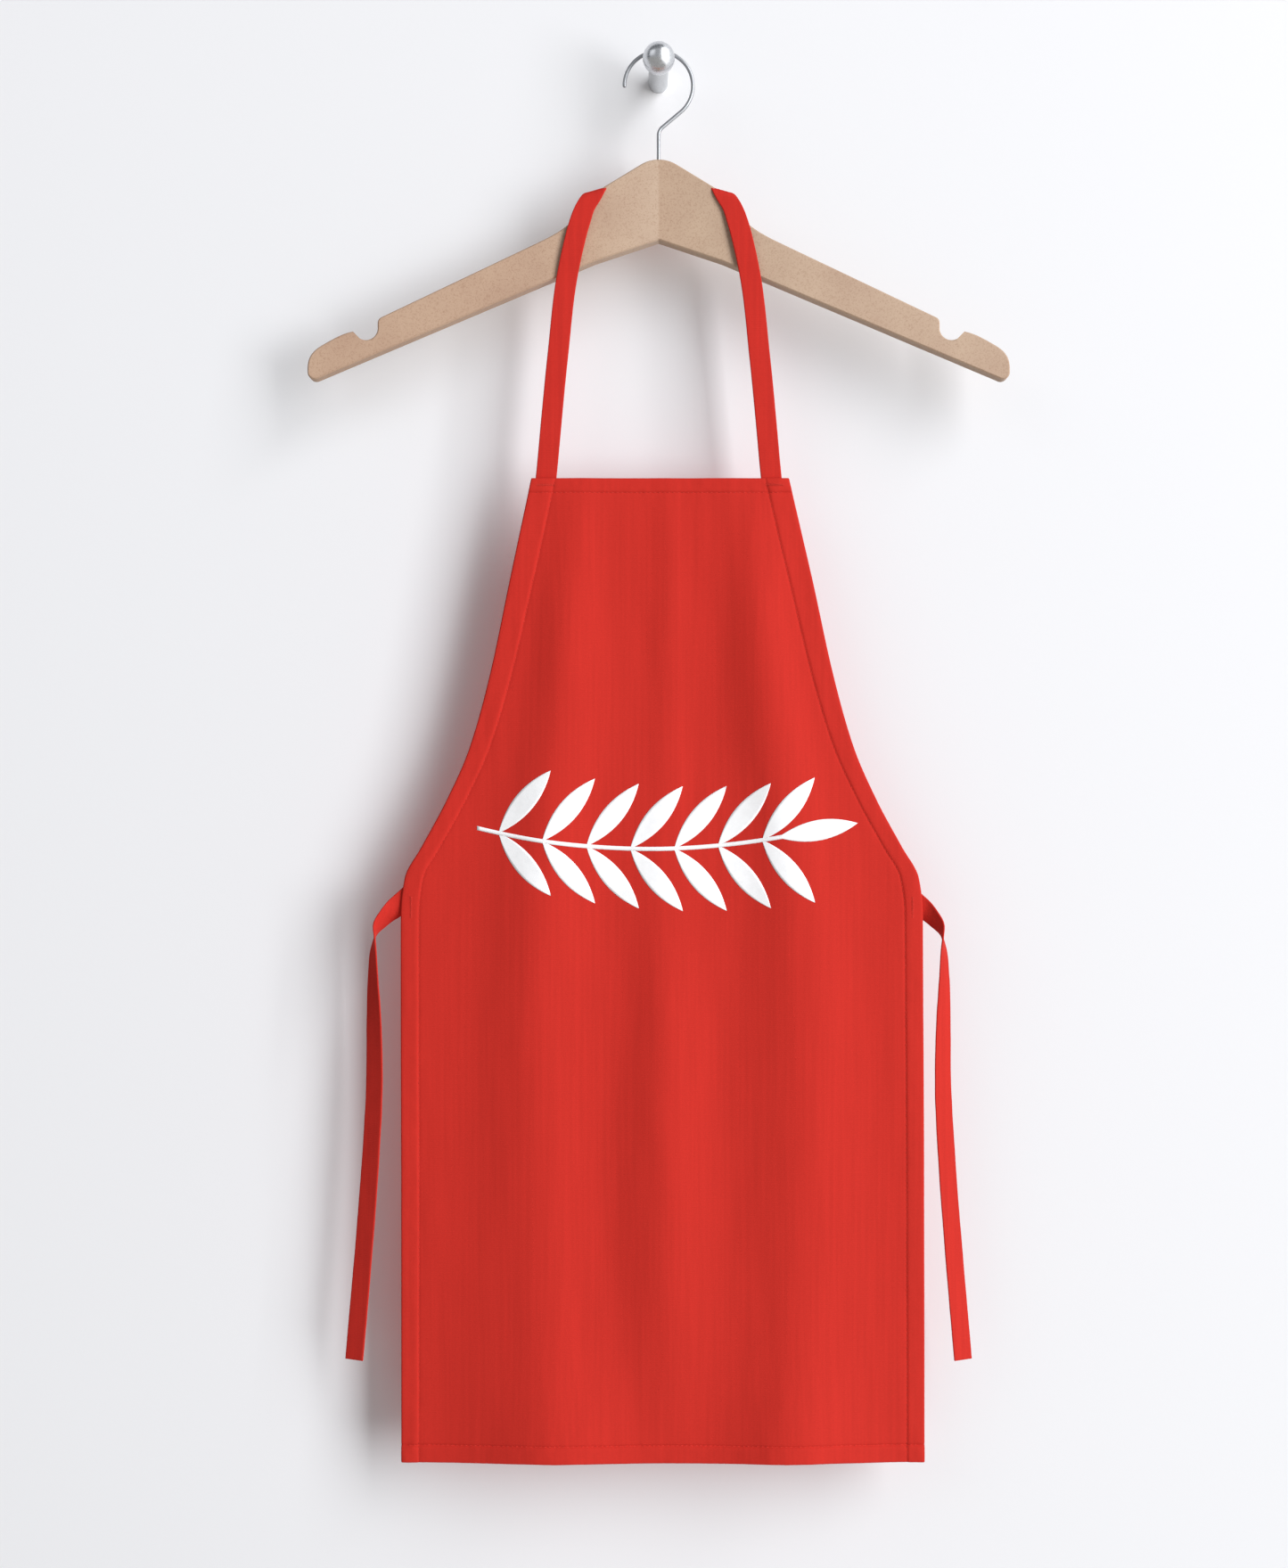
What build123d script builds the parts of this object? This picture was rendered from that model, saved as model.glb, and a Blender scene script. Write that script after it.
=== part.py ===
"""A bib apron hung by its neck strap over a flat wooden hanger on a wall knob.

Millimetres, +Z up. The wall face is the plane Y = 0 and the room is on its -Y side.
The origin is the centre of the knob's base, where it meets the wall.
"""

import os
from math import cos, exp, radians

from build123d import *

os.makedirs("parts", exist_ok=True)

# Wall knob: a ball on a sleeve, clamped to the wall by a double-ended stud
ball_radius = 10.2
ball_depth = 44.0
stem_radius = 6.4
seat_depth = ball_depth - (ball_radius**2 - stem_radius**2) ** 0.5
stud_radius = 2.5
stud_clearance = 0.1
stud_in_ball = 11.0
stud_in_wall = 30.0
plug_radius = 4.0
plug_length = 40.0
plug_recess = 2.0
stud_end_gap = 0.5
stem_chamfer = 0.5
stud_chamfer = 1.2
plug_chamfer = 0.8

# Wire hook: a round eye that stands on the stem, an offset and a straight shank
wire_radius = 1.2
hook_depth = 34.5
eye_radius = 22.0
rest_gap = 0.3
eye_height = stem_radius + rest_gap + wire_radius - eye_radius
eye_exit = -50.0
shank_bend = 6.5
shank_end = -88.0
collar_radius = 3.2
collar_top = -79.0
collar_height = 4.0

# Hanger: two arms of flat board, butted at X = 0 and held by two dowels
board_thickness = 10.0
board_back = hook_depth - board_thickness / 2
board_front = hook_depth + board_thickness / 2
peak_height = -62.8
saddle_height = -114.4
tip_reach = 224.8
lip = (179.9, -164.9)
heel = (tip_reach, -205.8)
bore_radius = wire_radius + 0.08
crown_radius = 22
crown_turn = -31
underside_corner = (41, -128.1)
heel_round = 4.5
lip_round = 4.0
notch_span = (179.8, 196.0)
pocket_gap = 0.5
pocket_clearance = 0.35
dowel_radius = 2.5
dowel_length = 24.0
dowel_heights = (-95.0, -105.0)
edge_round = 0.8

# Apron cloth: depths are measured from the wall
cloth_thickness = 1.2
facing_thickness = 0.8
ink_thickness = 0.25
seam_gap = 0.02
cut_reach = 60.0
bib_depth = 41.7
corner_setback = 6.0
ridge_rise = 5.2
ridge_width = 34.0
bib_top = -267.5
hem_height = -894.0
waist_height = -531.0
bib_half_width = 82.1
skirt_half_width = 166.8
facing_width = 12.0

# Neck strap and waist ties: the same folded tape
tape_width = 13.3
tape_thickness = 1.2
strap_depth = board_front + 0.35
strap_lap = 12.0
split_gap = 0.35
tie_exit = skirt_half_width + 0.8
tie_exit_height = -541.5
tie_slope = 43
sewn_length = 16.0
tack_width = 1.8
strap_tack = (73.0, bib_top - 5.0)
tie_tack = (160.0, tie_exit_height)

# Printed sprig: a long curved stalk with slender leaves in pairs
sprig_plane = Plane(origin=(2.0, 0, -499.0), x_dir=(1, 0, 0), z_dir=(0, -1, 0))
stalk_span = (-120.0, -22.0, 76.0)
stalk_width = 2.6
leaf_length = 52.0
leaf_width = 13.0
leaf_lean = 50
end_leaf_lean = 10
leaf_roots = [-106.0 + 28.0 * pair for pair in range(7)]
end_leaf_root = 72.0

hook_plane = Plane.XZ.offset(hook_depth)


def ease(value):
    """Smooth step from 0 to 1 as value goes from 0 to 1."""
    t = min(max(value, 0.0), 1.0)
    return t * t * (3 - 2 * t)


def stalk_height(x):
    """Height of the sprig's stalk above the middle of the print."""
    return 0.0011 * (x + 10) ** 2 - 5


def cloth_depth(x, z):
    """Distance of the cloth's mid surface from the wall, with its two soft folds."""
    drop = (bib_top - z) / (bib_top - hem_height)
    setback = corner_setback * ease(drop) * (x / skirt_half_width) ** 2
    left_ridge = -56 - 18 * drop
    right_ridge = 57 + 23 * drop
    rise = ridge_rise * ease(1.6 * drop + 0.05)
    bulge = sum(exp(-(((x - ridge) / ridge_width) ** 2)) for ridge in (left_ridge, right_ridge))
    return bib_depth - setback + rise * bulge


def cloth_layer(outer, inner):
    """One layer of the hanging cloth, between two distances in front of its mid surface."""
    stations = [-172 + 21.5 * step for step in range(17)]
    with BuildPart() as layer:
        for height in (-262.0, -380.0, -500.0, -640.0, -780.0, -900.0):
            with BuildSketch(Plane.XY.offset(height)):
                with BuildLine():
                    front = Spline(*[(x, -cloth_depth(x, height) - outer) for x in stations])
                    back = Spline(*[(x, -cloth_depth(x, height) - inner) for x in stations])
                    Line(front @ 0, back @ 0)
                    Line(front @ 1, back @ 1)
                make_face()
        loft()
    return layer.part


def save(builder, name):
    """Label a finished piece and write it as its own STEP file."""
    builder.part.label = name
    export_step(builder.part, f"parts/{name}.step")


# --- Wall knob -------------------------------------------------------------------------

with BuildPart() as knob_ball:
    with Locations((0, -ball_depth, 0)):
        Sphere(ball_radius)
    split(bisect_by=Plane.XZ.offset(seat_depth), keep=Keep.TOP)
    with BuildSketch(Plane.XZ.offset(seat_depth)):
        Circle(stud_radius)
    extrude(amount=stud_in_ball + stud_end_gap, mode=Mode.SUBTRACT)
save(knob_ball, "knob_ball")

with BuildPart() as knob_stem:
    with BuildSketch(Plane.XZ):
        Circle(stem_radius)
        Circle(stud_radius + stud_clearance, mode=Mode.SUBTRACT)
    extrude(amount=seat_depth)
    with BuildSketch(Plane.XZ):
        Circle(plug_radius + stud_clearance)
    extrude(amount=plug_recess, mode=Mode.SUBTRACT)
    chamfer(knob_stem.edges().group_by(Axis.Y)[0].sort_by(SortBy.RADIUS)[-1], length=stem_chamfer)
save(knob_stem, "knob_stem")

with BuildPart() as mounting_stud:
    with BuildSketch(Plane.XZ.offset(-stud_in_wall)):
        Circle(stud_radius)
    extrude(amount=stud_in_wall + seat_depth + stud_in_ball)
    chamfer(mounting_stud.edges().group_by(Axis.Y)[-1], length=stud_chamfer)
save(mounting_stud, "mounting_stud")

with BuildPart() as wall_plug:
    with BuildSketch(Plane.XZ):
        Circle(plug_radius)
        Circle(stud_radius, mode=Mode.SUBTRACT)
    extrude(amount=-plug_length)
    chamfer(wall_plug.edges().group_by(Axis.Y)[-1].sort_by(SortBy.RADIUS)[-1], length=plug_chamfer)
save(wall_plug, "wall_plug")

# --- Hook ------------------------------------------------------------------------------

with BuildPart() as hook_wire:
    with BuildLine(hook_plane) as hook_path:
        eye = CenterArc((0, eye_height), eye_radius, 180, eye_exit - 180)
        exit_point = eye @ 1
        exit_slope = (eye % 1).Z / (eye % 1).X
        corner_height = exit_point.Z - exit_slope * exit_point.X
        FilletPolyline(
            (exit_point.X, exit_point.Z), (0, corner_height), (0, shank_end), radius=shank_bend
        )
    with BuildSketch(Plane(eye @ 0, z_dir=eye % 0)):
        Circle(wire_radius)
    sweep(path=hook_path.line)
    with Locations(eye @ 0):
        Sphere(wire_radius)
save(hook_wire, "hook_wire")

with BuildPart() as hook_collar:
    with BuildSketch(Plane.XY.offset(collar_top - collar_height)):
        with Locations((0, -hook_depth)):
            Circle(collar_radius)
            Circle(wire_radius, mode=Mode.SUBTRACT)
    extrude(amount=collar_height)
save(hook_collar, "hook_collar")

# --- Hanger ----------------------------------------------------------------------------

with BuildPart() as hanger_arm_right:
    with BuildSketch(Plane.XZ.offset(board_back)):
        with BuildLine():
            crown = JernArc((0, peak_height), (1, 0), crown_radius, crown_turn)
            shoulder = Line(crown @ 1, (34, -79.7))
            neck = Spline(shoulder @ 1, (46.5, -92.5), (59, -105.4), (82, -118.3),
                          tangents=(shoulder % 1, (1, -0.476)))
            top_edge = Line(neck @ 1, lip)
            notch_wall = Line(top_edge @ 1, (lip[0], -171.0))
            notch_floor = ThreePointArc(notch_wall @ 1, (184.1, -177.6), (191.6, -177.2))
            notch_ramp = Line(notch_floor @ 1, (195.8, -172.9))
            tip = Spline(notch_ramp @ 1, (213.0, -180.3), (tip_reach, -196.5),
                         tangents=((1, -0.2), (0, -1)))
            Line(tip @ 1, heel)
            lower_edge = Line(heel, underside_corner)
            under = Line(lower_edge @ 1, (0, saddle_height))
            Line(under @ 1, (0, peak_height))
        make_face()
    extrude(amount=board_thickness)
    for (corner_x, corner_z), corner_round in ((heel, heel_round), (lip, lip_round)):
        corner = (corner_x, -hook_depth, corner_z)
        fillet(edges().filter_by(Axis.Y).sort_by_distance(corner)[0], radius=corner_round)
    outline_edges = edges().filter_by(lambda e: abs(e.tangent_at(0.5).Y) < 0.01)
    in_notch = outline_edges.filter_by(lambda e: notch_span[0] < e.center().X < notch_span[1])
    chamfer(outline_edges.filter_by(lambda e: e.center().X > 0.5) - in_notch, length=edge_round)
    with BuildSketch(Plane.XY.offset(shank_end - pocket_gap)):
        with Locations((0, -hook_depth)):
            Circle(bore_radius)
    extrude(amount=peak_height - shank_end + 5, mode=Mode.SUBTRACT)
    with BuildSketch(Plane.XY.offset(collar_top - collar_height - pocket_gap)):
        with Locations((0, -hook_depth)):
            Circle(collar_radius + pocket_clearance)
    extrude(amount=collar_height + 2 * pocket_gap, mode=Mode.SUBTRACT)
    with BuildSketch(Plane.YZ):
        with Locations(*[(-hook_depth, height) for height in dowel_heights]):
            Circle(dowel_radius)
    extrude(amount=dowel_length / 2 + pocket_gap, mode=Mode.SUBTRACT)
save(hanger_arm_right, "hanger_arm_right")

with BuildPart() as hanger_arm_left:
    add(hanger_arm_right.part)
    mirror(about=Plane.YZ, mode=Mode.REPLACE)
save(hanger_arm_left, "hanger_arm_left")

with BuildPart() as joint_dowels:
    with BuildSketch(Plane.YZ.offset(-dowel_length / 2)):
        with Locations(*[(-hook_depth, height) for height in dowel_heights]):
            Circle(dowel_radius)
    extrude(amount=dowel_length)
save(joint_dowels, "joint_dowels")

# --- Apron cloth -----------------------------------------------------------------------

body_layer = cloth_layer(cloth_thickness / 2, -cloth_thickness / 2)
facing_layer = cloth_layer(
    -cloth_thickness / 2 - seam_gap, -cloth_thickness / 2 - seam_gap - facing_thickness
)
tie_end_layer = cloth_layer(
    -cloth_thickness / 2 - seam_gap, -cloth_thickness / 2 - seam_gap - tape_thickness
)
print_layer = cloth_layer(
    cloth_thickness / 2 + seam_gap + ink_thickness, cloth_thickness / 2 + seam_gap
)

with BuildSketch(Plane.XZ) as apron_outline:
    with BuildLine():
        top = Line((0, bib_top), (bib_half_width, bib_top))
        armhole = Spline(top @ 1, (109.9, -394.5), (137.8, -474.0), (160.4, -514.0),
                         tangents=((0.22, -1), (0.75, -1)))
        turn = TangentArc(armhole @ 1, (skirt_half_width, waist_height), tangent=armhole % 1)
        side = Line(turn @ 1, (skirt_half_width, hem_height))
        hem = Line(side @ 1, (0, hem_height))
        mirror(about=Plane.YZ)
    make_face()

with BuildPart() as apron_panel:
    add(body_layer)
    with BuildSketch(Plane.XZ):
        add(apron_outline.sketch_local)
    extrude(amount=cut_reach, mode=Mode.INTERSECT)
save(apron_panel, "apron_panel")

with BuildSketch(Plane.XZ) as facing_outline:
    with BuildLine():
        add(armhole)
        inner_points = [
            armhole @ step + (armhole % step).rotate(Axis.Z, -90) * facing_width
            for step in (0, 0.25, 0.5, 0.75, 1)
        ]
        facing_inner = Spline(*inner_points)
        Line(armhole @ 0, facing_inner @ 0)
        Line(armhole @ 1, facing_inner @ 1)
    make_face()
    with Locations((0, bib_top - strap_lap - split_gap)):
        Rectangle(2 * tip_reach, cut_reach, align=(Align.CENTER, Align.MIN), mode=Mode.SUBTRACT)

with BuildPart() as armhole_facing_right:
    add(facing_layer)
    with BuildSketch(Plane.XZ):
        add(facing_outline.sketch_local)
    extrude(amount=cut_reach, mode=Mode.INTERSECT)
save(armhole_facing_right, "armhole_facing_right")

with BuildPart() as armhole_facing_left:
    add(facing_layer)
    with BuildSketch(Plane.XZ):
        add(facing_outline.sketch_local)
        mirror(about=Plane.YZ, mode=Mode.REPLACE)
    extrude(amount=cut_reach, mode=Mode.INTERSECT)
save(armhole_facing_left, "armhole_facing_left")

with BuildSketch(Plane.XZ) as leaf:
    with BuildLine():
        upper = ThreePointArc((0, 0), (leaf_length / 2, leaf_width / 2), (leaf_length, 0))
        ThreePointArc(upper @ 1, (leaf_length / 2, -leaf_width / 2), upper @ 0)
    make_face()

with BuildPart() as printed_sprig:
    add(print_layer)
    with BuildSketch(sprig_plane):
        with BuildLine():
            ThreePointArc(*[(x, stalk_height(x)) for x in stalk_span])
        trace(line_width=stalk_width)
        for root in leaf_roots:
            for lean in (leaf_lean, -leaf_lean):
                with Locations(Location((root, stalk_height(root), 0), (0, 0, lean))):
                    add(leaf.sketch_local)
        end_root = (end_leaf_root, stalk_height(end_leaf_root), 0)
        with Locations(Location(end_root, (0, 0, end_leaf_lean))):
            add(leaf.sketch_local)
    extrude(amount=cut_reach, mode=Mode.INTERSECT)
save(printed_sprig, "printed_sprig")

# --- Neck strap: sewn behind the bib, up over the neck of the hanger, across its back --

with BuildPart() as neck_strap_right:
    with BuildSketch(Plane.XZ.offset(strap_depth)):
        with BuildLine():
            outer = Spline((79.8, bib_top - strap_lap), (70.2, -190.0), (60.9, -115.4),
                           (52.4, -92.6), (45.6, -85.0))
            crest = Line(outer @ 1, (33.6, -81.4))
            inner = Spline(crest @ 1, (41.6, -98.4), (47.6, -121.0), (57.2, -189.5),
                           (67.0, bib_top - strap_lap))
            Line(inner @ 1, outer @ 0)
        make_face()
    extrude(amount=tape_thickness)
save(neck_strap_right, "neck_strap_right")

with BuildPart() as neck_strap_left:
    add(neck_strap_right.part)
    mirror(about=Plane.YZ, mode=Mode.REPLACE)
save(neck_strap_left, "neck_strap_left")

back_depth = board_back - seam_gap - tape_thickness
back_top = -82.0
arch_points = ((58.2, -102.9), (52.4, -92.2), (45.6, -84.4), (37.0, -80.4))
with BuildPart() as neck_strap_back:
    with BuildSketch(Plane.XZ.offset(back_depth)):
        with BuildLine():
            arch = Spline(*arch_points)
            Line(arch @ 1, (0, back_top))
            back_low = Line((0, back_top - tape_width), (44, back_top - tape_width))
            Line(back_low @ 1, arch @ 0)
            mirror(about=Plane.YZ)
        make_face()
    extrude(amount=tape_thickness)
    with BuildSketch(Plane.XZ.offset(back_depth)):
        with BuildLine():
            Spline(*arch_points)
        trace(line_width=tape_thickness)
        mirror(about=Plane.YZ)
    extrude(amount=strap_depth - split_gap - back_depth)
save(neck_strap_back, "neck_strap_back")

# --- Waist ties: sewn behind the side hems, one turn in each, then hanging free ---------

tie_depth = (
    cloth_depth(skirt_half_width, tie_exit_height)
    - cloth_thickness / 2 - seam_gap - tape_thickness / 2
)
tie_run = (
    (174.0, -548.0, 48, 8),
    (179.6, -556.0, 62, 40),
    (182.6, -564.0, 76, 90),
    (183.3, -575.0, 88, 130),
    (182.3, -610.0, 91, 130),
    (182.0, -655.0, 91, 130),
    (184.6, -704.0, 85, 130),
    (189.0, -760.0, 85, 130),
    (193.9, -816.0, 84, 130),
    (195.3, -831.5, 84, 130),
)
tie_sections = [
    (Plane((tie_exit, -tie_depth, tie_exit_height), x_dir=(0, 0, 1), z_dir=(1, 0, 0)),
     tape_width / cos(radians(tie_slope)))
]
for tie_x, tie_z, fall, turned in tie_run:
    run = Vector(1, 0, 0).rotate(Axis.Y, fall)
    across = Vector(0, 0, 1).rotate(Axis.Y, fall).rotate(Axis((0, 0, 0), run), turned)
    tie_sections.append((Plane((tie_x, -tie_depth, tie_z), x_dir=across, z_dir=run), tape_width))

with BuildPart() as waist_tie_right:
    for stretch in zip(tie_sections, tie_sections[1:]):
        for section, width in stretch:
            with BuildSketch(section):
                Rectangle(width, tape_thickness)
        loft(ruled=True)
save(waist_tie_right, "waist_tie_right")

with BuildPart() as waist_tie_left:
    add(waist_tie_right.part)
    mirror(about=Plane.YZ, mode=Mode.REPLACE)
save(waist_tie_left, "waist_tie_left")

with BuildPart() as sewn_tie_ends:
    add(tie_end_layer)
    with BuildSketch(Plane((tie_exit, 0, tie_exit_height), x_dir=(1, 0, 0), z_dir=(0, -1, 0))):
        with Locations(Rotation(0, 0, -tie_slope)):
            Rectangle(2 * sewn_length, tape_width)
        with Locations((-split_gap, 0)):
            Rectangle(cut_reach, cut_reach, align=(Align.MAX, Align.CENTER), mode=Mode.INTERSECT)
    extrude(amount=cut_reach, mode=Mode.INTERSECT)
    mirror(about=Plane.YZ)
save(sewn_tie_ends, "sewn_tie_ends")

# --- Bar tacks: the dense stitches that hold the strap and the ties ---------------------

with BuildPart() as strap_bartacks:
    add(print_layer)
    with BuildSketch(Plane.XZ):
        with Locations(strap_tack, (-strap_tack[0], strap_tack[1])):
            Rectangle(tape_width - 2, tack_width)
    extrude(amount=cut_reach, mode=Mode.INTERSECT)
save(strap_bartacks, "strap_bartacks")

with BuildPart() as tie_bartacks:
    add(print_layer)
    with BuildSketch(Plane.XZ):
        with Locations(tie_tack, (-tie_tack[0], tie_tack[1])):
            Rectangle(tack_width, tape_width)
    extrude(amount=cut_reach, mode=Mode.INTERSECT)
save(tie_bartacks, "tie_bartacks")
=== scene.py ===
# %% [markdown]
# # A bib apron on a wooden hanger
# The part is a small still life of soft and hard things: a red cotton apron hangs by its neck strap
# from a flat board hanger, whose wire hook stands on a polished knob in the wall. The knob, the hook
# and the hanger keep the shapes that they have in the engineering model. Everything sewn is made here,
# because cloth is where a plain solid looks wrong.

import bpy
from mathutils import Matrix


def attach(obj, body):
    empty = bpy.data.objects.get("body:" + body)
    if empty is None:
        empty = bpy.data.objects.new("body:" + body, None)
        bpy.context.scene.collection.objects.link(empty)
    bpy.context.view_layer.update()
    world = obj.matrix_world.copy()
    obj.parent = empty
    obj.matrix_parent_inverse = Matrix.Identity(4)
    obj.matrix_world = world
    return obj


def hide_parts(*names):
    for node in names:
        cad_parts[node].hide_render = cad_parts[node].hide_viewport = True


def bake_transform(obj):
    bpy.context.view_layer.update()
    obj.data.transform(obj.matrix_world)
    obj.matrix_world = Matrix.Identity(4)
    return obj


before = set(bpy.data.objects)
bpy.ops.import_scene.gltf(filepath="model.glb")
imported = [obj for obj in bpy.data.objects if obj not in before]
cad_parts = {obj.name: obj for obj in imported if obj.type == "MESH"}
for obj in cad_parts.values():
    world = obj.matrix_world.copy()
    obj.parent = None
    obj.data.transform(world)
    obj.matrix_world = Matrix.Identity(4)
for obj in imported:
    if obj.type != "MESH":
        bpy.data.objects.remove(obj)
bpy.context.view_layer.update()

# %% Modules and units
from math import cos, pi, radians, sin

import bmesh
import bpy
import numpy as np
from mathutils import Matrix, Vector, noise

mm = 0.001
scene = bpy.context.scene

# %% [markdown]
# ## The camera
# The apron is seen square on, from a little over a metre away, with the lens level with the middle of
# the frame. A camera that looks straight at the wall keeps the hanger's and the hem's lines level, so
# nothing here is tilted.

# %% Camera
lens_height = -462.6 * mm
lens_offset = -9.4 * mm
lens_distance = 1250 * mm
camera_data = bpy.data.cameras.new("camera")
camera_data.lens = 43.44
camera_data.sensor_width = 36
camera_data.clip_start = 0.05
camera = bpy.data.objects.new("camera", camera_data)
camera.location = (lens_offset, -lens_distance, lens_height)
camera.rotation_euler = (radians(90), 0, 0)
scene.collection.objects.link(camera)
scene.camera = camera
print("camera", tuple(round(v, 4) for v in camera.location), "lens", camera_data.lens)

# %% [markdown]
# ## Small helpers
# A node material is a few nodes and the links between them. One function adds a node with its settings
# and its links, and a few more stand for the steps that most materials share, so each material below
# reads as a short list. Colours are picked as the hex values that a screen shows, and one function turns
# them to the linear values that the shader works in.

# %% Colour and node helpers
def linear(hex_colour):
    """The shader's linear colour for a screen colour such as "cd302a"."""
    channels = [int(hex_colour[i:i + 2], 16) / 255 for i in (0, 2, 4)]
    return (*[c / 12.92 if c <= 0.04045 else ((c + 0.055) / 1.055) ** 2.4 for c in channels], 1)


def set_up(node, **settings):
    """Sets a node's own properties, or else its sockets, by name."""
    for key, value in settings.items():
        if key in node.bl_rna.properties:
            setattr(node, key, value)
        else:
            node.inputs[key.replace("_", " ")].default_value = value
    return node


def add_node(tree, kind, links=(), **settings):
    """Adds a node with its settings, and links (source, output, input) into it."""
    node = set_up(tree.nodes.new(kind), **settings)
    for source, output, socket in links:
        tree.links.new(source.outputs[output], node.inputs[socket])
    return node


def new_material(name):
    """A node material with nothing in it yet but its shader and output."""
    material = bpy.data.materials.new(name)
    material.use_nodes = True
    tree = material.node_tree
    tree.nodes.clear()
    shader = add_node(tree, "ShaderNodeBsdfPrincipled")
    add_node(tree, "ShaderNodeOutputMaterial", [(shader, "BSDF", "Surface")])
    return material


def opened(material):
    """A material's tree and its shader, to work on."""
    tree = material.node_tree
    return tree, next(node for node in tree.nodes if node.type == "BSDF_PRINCIPLED")


def speckle(tree, scale, detail, **settings):
    """Noise that stays fixed to the object."""
    place = add_node(tree, "ShaderNodeTexCoord")
    links = [(place, "Object", "Vector")]
    return add_node(tree, "ShaderNodeTexNoise", links, Scale=scale, Detail=detail, **settings)


def multiply(tree, share, first, second):
    """One colour darkened by a share of another, each given as (source, output)."""
    mix = add_node(tree, "ShaderNodeMix", data_type="RGBA", blend_type="MULTIPLY")
    mix.inputs["Factor"].default_value = share
    for (source, output), socket in ((first, "A"), (second, "B")):
        tree.links.new(source.outputs[output], mix.inputs[socket])
    return mix


def emboss(tree, shader, texture, strength, distance, over=None):
    """Gives a shader's surface the relief of a texture, over that of an earlier bump node."""
    links = [(texture, "Fac", "Height")] + ([(over, "Normal", "Normal")] if over else [])
    bump = add_node(tree, "ShaderNodeBump", links, Strength=strength, Distance=distance)
    tree.links.new(bump.outputs["Normal"], shader.inputs["Normal"])
    return bump


def colour_ramp(tree, source, output, stops):
    """A ramp through (position, hex colour) stops."""
    ramp = add_node(tree, "ShaderNodeValToRGB", [(source, output, "Fac")])
    elements = ramp.color_ramp.elements
    while len(elements) < len(stops):
        elements.new(0.5)
    for element, (position, colour) in zip(elements, stops):
        element.position = position
        element.color = linear(colour)
    return ramp


# %% [markdown]
# ## The room
# A pale matt wall with the light coming from the right is most of what makes cloth read as cloth: the
# folds show only because one side of each is brighter. The wall can be seen through from behind, so that
# the back of the apron can be inspected too, and it casts no shadow of its own. The far wall is there for
# the polished knob to mirror. A large pale shell closes the room beyond it, so that no view of the apron
# from the side or from behind ends in black.

# %% Paints
wall_paint = new_material("matt_wall_emulsion")
tree, shader = opened(wall_paint)
set_up(shader, Base_Color=linear("ededee"), Roughness=0.9)
emboss(tree, shader, speckle(tree, 420, 3), 0.05, 0.4 * mm)
clear = add_node(tree, "ShaderNodeBsdfTransparent")
side = add_node(tree, "ShaderNodeNewGeometry")
one_way = add_node(
    tree, "ShaderNodeMixShader", [(side, "Backfacing", "Fac"), (shader, "BSDF", 1), (clear, "BSDF", 2)]
)
output = next(node for node in tree.nodes if node.type == "OUTPUT_MATERIAL")
tree.links.new(one_way.outputs["Shader"], output.inputs["Surface"])

floor_paint = new_material("pale_floor_paint")
tree, shader = opened(floor_paint)
set_up(
    shader, Base_Color=linear("161616"), Roughness=0.8, Specular_IOR_Level=0.0,
    Emission_Color=linear("e6e4e1"), Emission_Strength=0.55,
)

far_paint = new_material("far_wall_paint_in_shade")
tree, shader = opened(far_paint)
set_up(
    shader, Base_Color=linear("000000"), Specular_IOR_Level=0.0,
    Emission_Color=linear("eceef2"), Emission_Strength=0.5,
)
print("paints", [paint.name for paint in (wall_paint, floor_paint, far_paint)])


# %% Walls, floor and shell
def put_on_stage(bm, name, material, unseen_by):
    """Makes a backdrop of a bmesh, and names the kinds of ray that pass it by."""
    mesh = bpy.data.meshes.new(name)
    bm.to_mesh(mesh)
    bm.free()
    mesh.materials.append(material)
    backdrop = bpy.data.objects.new(name, mesh)
    scene.collection.objects.link(backdrop)
    for ray in unseen_by:
        setattr(backdrop, f"visible_{ray}", False)
    return backdrop


def flat_backdrop(name, low, high, material, unseen_by):
    """A plane between two corners: upright if both are at the same y, or else level."""
    bm = bmesh.new()
    bmesh.ops.create_grid(bm, x_segments=1, y_segments=1, size=0.5)
    span, middle = high - low, (high + low) / 2
    for vert in bm.verts:
        x, y = vert.co[:2]
        upright = span.y == 0
        vert.co = middle + Vector((x * span.x, 0 if upright else y * span.y, y * span.z if upright else 0))
    return put_on_stage(bm, name, material, unseen_by)


floor_height = -1.45
wall_half, wall_top = 3, 2.2
room_half, room_front, floor_back, far_top = 22, -9, 6, 12
shell_radius = 30

wall = flat_backdrop(
    "wall", Vector((-wall_half, 0, floor_height)), Vector((wall_half, 0, wall_top)), wall_paint,
    ["shadow", "diffuse"],
)
flat_backdrop(
    "floor", Vector((-room_half, room_front, floor_height)), Vector((room_half, floor_back, floor_height)),
    floor_paint, ["shadow"],
)
flat_backdrop(
    "far_wall", Vector((-room_half, room_front, floor_height)), Vector((room_half, room_front, far_top)),
    far_paint, ["shadow", "diffuse"],
)
bm = bmesh.new()
bmesh.ops.create_uvsphere(bm, u_segments=48, v_segments=24, radius=shell_radius)
put_on_stage(bm, "room_shell", far_paint, ["shadow", "diffuse", "glossy"])
print("wall", [round(v, 2) for v in wall.dimensions], "floor at", floor_height)

# %% [markdown]
# ## The light
# One large upright light, like a tall window, stands to the right and gives the wide soft shadow on the
# left of the apron. A weaker light from the left keeps that shadow open. A card at the right is seen only
# in reflections, where it brightens the knob and the wire and lays a faint gloss on the cloth, and a
# light behind the wall is only there to show the back.

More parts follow.
